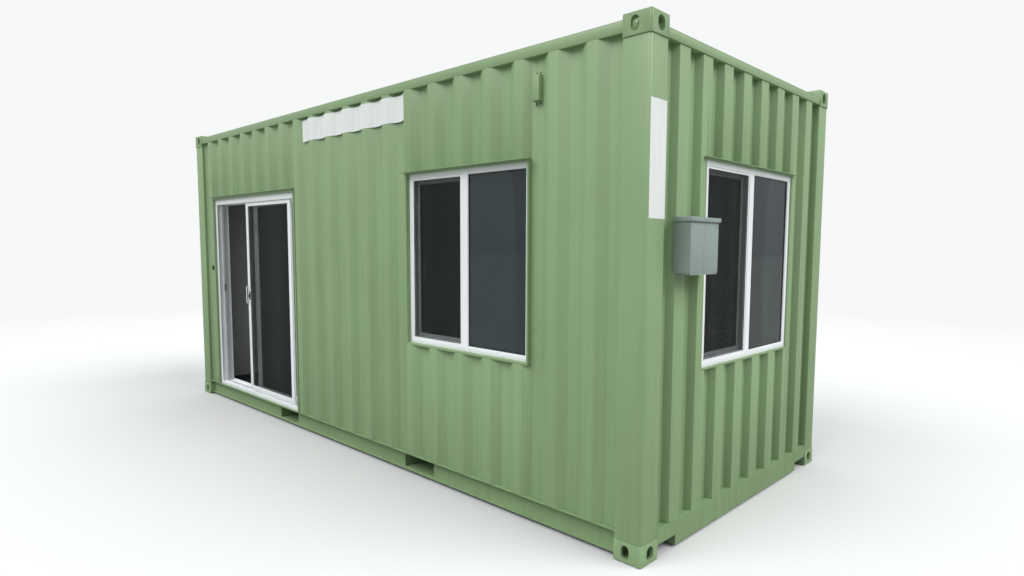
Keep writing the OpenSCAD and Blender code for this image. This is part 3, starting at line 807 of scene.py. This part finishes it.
class OBJECT_OT_office_windows(bpy.types.Operator):
    """Frames, sashes, double glazing, beads, seals, weep covers and insect screens"""

    bl_idname = "object.office_windows"
    bl_label = "Windows"

    def execute(self, context):
        sizes = context.scene.office_sizes
        rim, mullion, sash_face, unit = 32 * MM, 60 * MM, 38 * MM, 18 * MM
        fixed_face, sash_glass, screen_face = 14 * MM, 42 * MM, 4 * MM
        for name, width, low, high, place, cloth in window_sites():
            half = width / 2
            z0, z1 = low + rim, high - rim
            left, right = -half + rim, -mullion / 2
            for part in ("_frame", "_sash"):
                rounded_copy(name + part, sizes.vinyl_edge, 2, longer_than(25 * MM))
            fixed, fixed_spacer = double_pane(
                -right, -left, z0, z1, fixed_face, sizes.pane, unit
            )
            moving, sash_spacer = double_pane(
                left + sash_face, right - sash_face, z0 + sash_face, z1 - sash_face,
                sash_glass, sizes.pane, unit,
            )
            bead = hollow_ring(
                (-right, 3 * MM, z0), (-left, fixed_face, z1), sizes.bead, sizes.vinyl_edge
            )
            sash_bead = hollow_ring(
                (left + sash_face, sash_glass - 3.5 * MM, z0 + sash_face),
                (right - sash_face, sash_glass, z1 - sash_face),
                sizes.bead * 0.7,
                1 * MM,
            )
            seal = hollow_ring(
                (-right + sizes.bead - 1 * MM, fixed_face - 4 * MM, z0 + sizes.bead - 1 * MM),
                (-left - sizes.bead + 1 * MM, fixed_face, z1 - sizes.bead + 1 * MM),
                3 * MM,
                0.8 * MM,
            )
            screen_rim = 18 * MM
            screen = hollow_ring(
                (left, screen_face, z0), (right, screen_face + 9 * MM, z1), screen_rim, 1.5 * MM
            )
            spline = hollow_ring(
                (left + screen_rim - 4 * MM, screen_face - 1 * MM, z0 + screen_rim - 4 * MM),
                (right - screen_rim + 4 * MM, screen_face + 3 * MM, z1 - screen_rim + 4 * MM),
                4 * MM,
                1 * MM,
            )
            mesh = panelled(
                (left + screen_rim - 1 * MM, screen_face + 4 * MM, z0 + screen_rim - 1 * MM),
                (right - screen_rim + 1 * MM, screen_face + 5 * MM, z1 - screen_rim + 1 * MM),
                (0, -1, 0), 8 * MM, 0, 0.2 * MM,
            )
            weeps = joined([
                panelled(
                    (x - 16 * MM, -3 * MM, low + 9 * MM), (x + 16 * MM, 0.5 * MM, low + 16 * MM),
                    (0, 0, -1), 1 * MM, 1 * MM, 1 * MM,
                )
                for x in (-half * 0.6, half * 0.6)
            ])
            sealant = hollow_ring(
                (-half - 5 * MM, 1 * MM, low - 5 * MM), (half + 5 * MM, 6 * MM, high + 5 * MM),
                7 * MM, 2 * MM,
            )
            made = (
                (joined([fixed, moving]), "double_glazing", "glass", [name + "_glass"]),
                (joined([fixed_spacer, sash_spacer]), "glass_spacers", "anodised", []),
                (joined([bead, sash_bead]), "glazing_beads", "vinyl", []),
                (joined([seal, spline]), "glazing_seals", "rubber", []),
                (screen, "insect_screen_frame", "vinyl", [name + "_screen"]),
                (mesh, "insect_screen_cloth", cloth, []),
                (joined([weeps, sealant]), "weep_covers_and_sealant", "vinyl", []),
            )
            for obj, part, finish, replaced in made:
                obj.data.transform(place)
                finish_piece(obj, name + "_" + part, finish, replaced=replaced)
        return {"FINISHED"}


class OBJECT_OT_office_door(bpy.types.Operator):
    """Door frame, glass panels and screen door with their beads, seals and keeper, and a black jamb
    strip that is partly painted shade
    """

    bl_idname = "object.office_door"
    bl_label = "Door"

    def execute(self, context):
        sizes = context.scene.office_sizes
        for node in (
            "door_frame", "fixed_door_panel", "sliding_door_panel", "screen_door_frame"
        ):
            rounded_copy(node, sizes.vinyl_edge, 2, longer_than(25 * MM))
        for panel, body in (("fixed_door", "container"), ("sliding_door", "sliding_panel")):
            low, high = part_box(panel + "_glass")
            deep = 5 * MM
            beads = [
                hollow_ring((low.x, y, low.z), (high.x, y + deep, high.z), sizes.bead, 1.5 * MM)
                for y in (low.y - deep, high.y)
            ]
            finish_piece(joined(beads), panel + "_glazing_beads", "vinyl", body)
            seals = [
                hollow_ring(
                    (low.x + sizes.bead, y, low.z + sizes.bead),
                    (high.x - sizes.bead, y + 2 * MM, high.z - sizes.bead),
                    3 * MM, 0.6 * MM,
                )
                for y in (low.y - 2 * MM, high.y)
            ]
            finish_piece(joined(seals), panel + "_glazing_seals", "rubber", body)
        low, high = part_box("screen_door_mesh")
        cord = hollow_ring(
            (low.x - 5 * MM, low.y - 4 * MM, low.z - 5 * MM),
            (high.x + 5 * MM, low.y, high.z + 5 * MM),
            6 * MM, 1 * MM,
        )
        finish_piece(cord, "screen_door_spline", "rubber", "screen_door")
        low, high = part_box("door_frame")
        jamb = 38 * MM
        # black rubber strip on the right jamb: partly the real seal, partly painted shade for the
        # dark gap beside the screen door
        strip_x = high.x - jamb - 9 * MM
        strip = panelled(
            (strip_x, low.y - 3 * MM, low.z + 140 * MM),
            (strip_x + 20 * MM, low.y, high.z - 90 * MM),
            (0, -1, 0), 4 * MM, 1 * MM, 1 * MM,
        )
        finish_piece(strip, "door_seal_strip_with_painted_shade", "rubber")
        ends = [
            panelled(
                (strip_x, low.y - 4 * MM, z), (strip_x + 22 * MM, low.y, z + 26 * MM),
                (0, -1, 0), 4 * MM, -1 * MM, 1 * MM,
            )
            for z in (low.z + 112 * MM, high.z - 88 * MM)
        ]
        finish_piece(joined(ends), "door_corner_pads", "vinyl")
        rib_x, rib_y = low.x + jamb + 16 * MM, low.y + 54 * MM
        keeper = panelled(
            (rib_x, rib_y - 10 * MM, 1.19), (rib_x + 4 * MM, rib_y + 10 * MM, 1.27),
            (1, 0, 0), 5 * MM, 2 * MM, 1 * MM,
        )
        finish_piece(keeper, "screen_door_keeper", "powder")
        return {"FINISHED"}


class OBJECT_OT_office_pull(bpy.types.Operator):
    """The screen door's curved pull and its black latch"""

    bl_idname = "object.office_pull"
    bl_label = "Pull and latch"

    def execute(self, context):
        low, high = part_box("screen_door_handle")
        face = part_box("screen_door_frame")[0].y
        grip_width, grip_thick, bend = 14 * MM, 5 * MM, 16 * MM
        middle = low.x + grip_width / 2
        bar_y = low.y + grip_thick / 2
        grip = start_block(
            (middle - grip_width / 2, low.y + bend, low.z),
            (middle + grip_width / 2, face, low.z + grip_thick),
        )
        edit_faces(grip, lambda centre, normal: normal.y < -0.9)
        bpy.ops.mesh.spin(
            steps=8, angle=math.pi / 2, axis=(1, 0, 0),
            center=(middle, low.y + bend, low.z + bend),
        )
        bpy.ops.mesh.extrude_region_move(
            TRANSFORM_OT_translate={"value": (0, 0, high.z - low.z - 2 * bend)}
        )
        bpy.ops.mesh.spin(
            steps=8, angle=math.pi / 2, axis=(1, 0, 0),
            center=(middle, low.y + bend, high.z - bend),
        )
        bpy.ops.mesh.extrude_region_move(
            TRANSFORM_OT_translate={"value": (0, face - low.y - bend, 0)}
        )
        bpy.ops.mesh.select_all(action="SELECT")
        bpy.ops.mesh.remove_doubles(threshold=0.02 * MM)
        bpy.ops.mesh.normals_make_consistent(inside=False)
        done()
        apply_bevel(grip, 1.2 * MM, 2)
        feet = [
            panelled(
                (middle - 10 * MM, face - 3 * MM, z), (middle + 10 * MM, face, z + 24 * MM),
                (0, -1, 0), 3 * MM, -1 * MM, 1 * MM,
            )
            for z in (low.z - 2 * MM, high.z - 22 * MM)
        ]
        finish_piece(
            joined([grip, *feet]), "screen_door_pull", "vinyl", "screen_door",
            ["screen_door_handle"],
        )
        latch_low = (high.x - 20 * MM, face - 5 * MM, low.z + 40 * MM)
        latch_high = (high.x, face, low.z + 120 * MM)
        plate = panelled(latch_low, latch_high, (0, -1, 0), 4 * MM, 1.5 * MM, 1.2 * MM)
        lever = panelled(
            (high.x - 15 * MM, face - 13 * MM, low.z + 66 * MM),
            (high.x - 5 * MM, face - 4 * MM, low.z + 94 * MM),
            (0, -1, 0), 2 * MM, -1 * MM, 1.5 * MM,
        )
        finish_piece(joined([plate, lever]), "screen_door_latch", "rubber", "screen_door")
        return {"FINISHED"}


def screw_head(radius):
    """A pan head with a round hollow, facing -Y, at the origin"""
    obj = start_round((0, 0, 0), radius, radius * 0.6, "Y", 16)
    edit_faces(obj, lambda centre, normal: normal.y < -0.9)
    bpy.ops.mesh.inset(thickness=radius * 0.55, depth=0)
    bpy.ops.transform.translate(value=(0, radius * 0.3, 0))
    done()
    apply_bevel(obj, radius * 0.12, 2)
    return obj


def on_end_face(x, y, z):
    """The matrix that turns a piece made facing -Y to face +X at a place"""
    return Matrix.Translation((x, y, z)) @ Matrix.Rotation(math.pi / 2, 4, "Z")


class OBJECT_OT_office_fittings(bpy.types.Operator):
    """Electrical box, ventilator and cable grommet with their screws, flange and rim"""

    bl_idname = "object.office_fittings"
    bl_label = "Fittings"

    def execute(self, context):
        sizes = context.scene.office_sizes
        for node in ("electrical_box", "electrical_box_cover"):
            rounded_copy(node, 0.8 * MM, 2, longer_than(60 * MM))
        rounded_copy("ventilator", 1.2 * MM, 2, longer_than(20 * MM))
        head = screw_head(sizes.screw)
        low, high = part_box("ventilator")
        middle = (low.x + high.x) / 2
        plate_y = high.y - 3 * MM
        screws = [
            copied(head, Matrix.Translation((middle + dx, plate_y - sizes.screw * 0.2, z)))
            for dx in (-16 * MM, 16 * MM)
            for z in (low.z + 11 * MM, high.z - 11 * MM)
        ]
        finish_piece(joined(screws), "ventilator_screws", "rubber")
        low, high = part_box("electrical_box_cover")
        front = high.x
        flange = panelled(
            (front - 30 * MM, low.y + 6 * MM, low.z - 9 * MM),
            (front - 1 * MM, high.y - 6 * MM, low.z),
            (1, 0, 0), 3 * MM, 1.5 * MM, 1 * MM,
        )
        finish_piece(flange, "electrical_box_flange", "powder")
        screws = [
            copied(head, on_end_face(front + sizes.screw * 0.25, y, z))
            for y in (low.y + 18 * MM, high.y - 18 * MM)
            for z in (low.z + 16 * MM, high.z - 34 * MM)
        ]
        finish_piece(joined(screws), "electrical_box_screws", "zinc")
        bpy.data.objects.remove(head)
        low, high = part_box("cable_gland")
        middle = ((low.x + high.x) / 2, low.y, (low.z + high.z) / 2)
        radius = (high.x - low.x) / 2
        gland = start_round((middle[0], high.y - 2 * MM, middle[2]), radius, 4 * MM, "Y", 32)
        edit_faces(gland, lambda centre, normal: normal.y < -0.9)
        bpy.ops.mesh.inset(thickness=radius * 0.25, depth=0)
        bpy.ops.transform.translate(value=(0, 2 * MM, 0))
        bpy.ops.mesh.inset(thickness=radius * 0.2, depth=0)
        bpy.ops.transform.translate(value=(0, -1.5 * MM, 0))
        done()
        apply_bevel(gland, 0.7 * MM, 2)
        finish_piece(gland, "cable_grommet", "rubber", replaced=["cable_gland"])
        return {"FINISHED"}


class OBJECT_OT_office_film(bpy.types.Operator):
    """The plain banner that follows the folds over the door, and the plain film on the near post"""

    bl_idname = "object.office_film"
    bl_label = "Plain film"

    def execute(self, context):
        wall = bpy.data.objects["front_wall_rounded"]
        left, right, low, high = -0.595, 0.935, 2.600, 2.785
        bpy.ops.object.select_all(action="DESELECT")
        bpy.ops.mesh.primitive_grid_add(
            x_subdivisions=180, y_subdivisions=4, size=1,
            location=((left + right) / 2, CAD_LOW.y - 0.05, (low + high) / 2),
            rotation=(math.pi / 2, 0, 0),
        )
        banner = bpy.context.object
        banner.scale = (right - left, high - low, 1)
        settle()
        choose(banner)
        wrap = banner.modifiers.new("follow", "SHRINKWRAP")
        wrap.target = wall
        wrap.wrap_method = "PROJECT"
        wrap.use_project_y = True
        wrap.use_positive_direction = True
        wrap.use_negative_direction = False
        wrap.offset = 0.8 * MM
        bpy.ops.object.modifier_apply(modifier=wrap.name)
        edit_all(banner)
        bpy.ops.transform.resize(
            value=(1, 0.65, 1), center_override=(0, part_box("front_wall")[0].y - 1 * MM, 0)
        )
        done()
        thick = banner.modifiers.new("film", "SOLIDIFY")
        thick.thickness = 0.5 * MM
        bpy.ops.object.modifier_apply(modifier=thick.name)
        finish_piece(banner, "plain_banner", "film")
        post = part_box("corner_posts")[1].x
        plate = panelled(
            (post + 0.1 * MM, -1.205, 1.857), (post + 0.7 * MM, -1.055, 2.463),
            (1, 0, 0), 2 * MM, 0, 0.2 * MM,
        )
        finish_piece(plate, "plain_post_film", "film")
        return {"FINISHED"}


class OBJECT_OT_office_skirting(bpy.types.Operator):
    """Skirting boards along the inner walls"""

    bl_idname = "object.office_skirting"
    bl_label = "Skirting"

    def execute(self, context):
        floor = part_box("plywood_floor")[1].z
        room_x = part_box("far_end_lining")[1].x
        room_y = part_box("back_lining")[0].y
        tall, thick = 80 * MM, 9 * MM
        back = panelled(
            (room_x, room_y - thick, floor), (-room_x, room_y, floor + tall),
            (0, -1, 0), 8 * MM, 1 * MM, 1.5 * MM,
        )
        far = panelled(
            (room_x, -room_y, floor), (room_x + thick, room_y - thick, floor + tall),
            (1, 0, 0), 8 * MM, 1 * MM, 1.5 * MM,
        )
        near = copied(far, Matrix.Scale(-1, 4, (1, 0, 0)))
        finish_piece(joined([back, far, near]), "skirting_boards", "lining")
        return {"FINISHED"}


class OBJECT_OT_office_stage(bpy.types.Operator):
    """Floor, sky, lamp and camera"""

    bl_idname = "object.office_stage"
    bl_label = "Stage"

    def execute(self, context):
        stage = context.scene.office_stage
        paper = shade(stage.paper, 1.0)
        context.scene.view_settings.view_transform = "Standard"

        bpy.ops.object.select_all(action="DESELECT")
        bpy.ops.mesh.primitive_circle_add(
            vertices=96, radius=120, fill_type="NGON", location=(0, 0, -1 * MM)
        )
        floor = context.object
        settle()
        floor.name = "studio_floor"
        material, output, place = blank_material("studio_floor_paper")
        seen = add_node(material, "ShaderNodeLightPath")
        own = add_node(
            material,
            "ShaderNodeMath",
            {0: seen.outputs["Is Camera Ray"], 1: seen.outputs["Is Transmission Ray"]},
            operation="MAXIMUM",
        )
        grain = noise_at(material, place, 60)
        lit_paper = 0.62
        pale = mixed(material, grain, shade(paper, lit_paper - 0.01), shade(paper, lit_paper))
        bounce = linear("#8a8d88")
        matt = add_node(
            material,
            "ShaderNodeBsdfDiffuse",
            {"Color": mixed(material, own.outputs[0], shade(bounce, 1.0), pale)},
        )
        glow = add_node(material, "ShaderNodeEmission", {"Color": paper, "Strength": 1.0})
        far_off = add_node(material, "ShaderNodeVectorMath", {0: place}, operation="LENGTH")
        fade = times(
            material, ranged(material, far_off.outputs["Value"], 5.0, 14.0), own.outputs[0]
        )
        blend = add_node(
            material, "ShaderNodeMixShader", {0: fade, 1: matt.outputs[0], 2: glow.outputs[0]}
        )
        material.node_tree.links.new(blend.outputs[0], output.inputs["Surface"])
        floor.data.materials.append(material)

        world = bpy.data.worlds.new("studio_sky")
        world.use_nodes = True
        context.scene.world = world
        world.node_tree.nodes.clear()
        path = add_node(world, "ShaderNodeLightPath")
        shown = add_node(
            world,
            "ShaderNodeMath",
            {0: path.outputs["Is Camera Ray"], 1: path.outputs["Is Transmission Ray"]},
            operation="MAXIMUM",
        )
        way = add_node(world, "ShaderNodeTexCoord").outputs["Generated"]
        up = add_node(world, "ShaderNodeSeparateXYZ", {0: way}).outputs["Z"]
        strength = ranged(world, up, -0.1, 0.8, stage.sky * 0.45, stage.sky * 1.4)
        lit = add_node(
            world, "ShaderNodeBackground", {"Color": (0.97, 0.99, 1, 1), "Strength": strength}
        )
        plain = add_node(world, "ShaderNodeBackground", {"Color": paper, "Strength": 1.0})
        pick = add_node(
            world,
            "ShaderNodeMixShader",
            {0: shown.outputs[0], 1: lit.outputs[0], 2: plain.outputs[0]},
        )
        add_node(world, "ShaderNodeOutputWorld", {"Surface": pick.outputs[0]})

        for name, strength, towards in (
            ("end_lamp", stage.end_lamp, (-0.75, -0.30, -0.80)),
            ("front_lamp", stage.front_lamp, (0.20, 0.75, -0.85)),
        ):
            bpy.ops.object.light_add(type="SUN", location=(0, 0, 6))
            lamp = context.object
            lamp.name = name
            lamp.data.energy = strength
            lamp.data.angle = stage.lamp_size
            lamp.rotation_euler = Vector(towards).to_track_quat("-Z", "Y").to_euler()

        camera_data = bpy.data.cameras.new("view")
        image_width, film_width = 1024, 36
        focal, centre_x, centre_y = 648.2854317, 544.26487748, 302.63202732
        camera_data.sensor_width = film_width
        camera_data.lens = focal / image_width * film_width
        camera_data.shift_x = -(centre_x - image_width / 2) / image_width
        camera_data.shift_y = (centre_y - 288) / image_width
        camera = bpy.data.objects.new("view", camera_data)
        context.scene.collection.objects.link(camera)
        heading, down, roll = 42.6408497, 4.99336739, 0.44806753
        camera.matrix_world = (
            Matrix.Translation((4.88722357, -4.00562265, 1.71158948))
            @ Matrix.Rotation(math.radians(heading), 4, "Z")
            @ Matrix.Rotation(math.radians(90 - down), 4, "X")
            @ Matrix.Rotation(math.radians(roll), 4, "Z")
        )
        context.scene.camera = camera
        return {"FINISHED"}


PIECES = (
    OBJECT_OT_office_finishes,
    OBJECT_OT_office_sheets,
    OBJECT_OT_office_steelwork,
    OBJECT_OT_office_welds,
    OBJECT_OT_office_windows,
    OBJECT_OT_office_door,
    OBJECT_OT_office_pull,
    OBJECT_OT_office_fittings,
    OBJECT_OT_office_film,
    OBJECT_OT_office_skirting,
    OBJECT_OT_office_stage,
)


class VIEW3D_PT_office(bpy.types.Panel):
    """The office's settings and pieces"""

    bl_label = "Container office"
    bl_idname = "VIEW3D_PT_office"
    bl_space_type = "VIEW_3D"
    bl_region_type = "UI"
    bl_category = "Office"

    def draw(self, context):
        for group in (
            context.scene.office_paints, context.scene.office_sizes, context.scene.office_stage
        ):
            box = self.layout.box()
            for name in group.__annotations__:
                box.prop(group, name)
        for piece in PIECES:
            self.layout.operator(piece.bl_idname)


CLASSES = (OfficePaints, OfficeSizes, OfficeStage, *PIECES, VIEW3D_PT_office)


def register():
    """Register the classes and their settings"""
    for cls in CLASSES:
        bpy.utils.register_class(cls)
    bpy.types.Scene.office_paints = PointerProperty(type=OfficePaints)
    bpy.types.Scene.office_sizes = PointerProperty(type=OfficeSizes)
    bpy.types.Scene.office_stage = PointerProperty(type=OfficeStage)


def unregister():
    """Remove the settings and the classes"""
    del bpy.types.Scene.office_stage
    del bpy.types.Scene.office_sizes
    del bpy.types.Scene.office_paints
    for cls in reversed(CLASSES):
        bpy.utils.unregister_class(cls)


def main():
    """Make every piece in order"""
    register()
    for piece in PIECES:
        group, name = piece.bl_idname.split(".")
        if getattr(getattr(bpy.ops, group), name)() != {"FINISHED"}:
            raise RuntimeError(f"{piece.bl_label} could not be made")


if __name__ == "__main__":
    main()
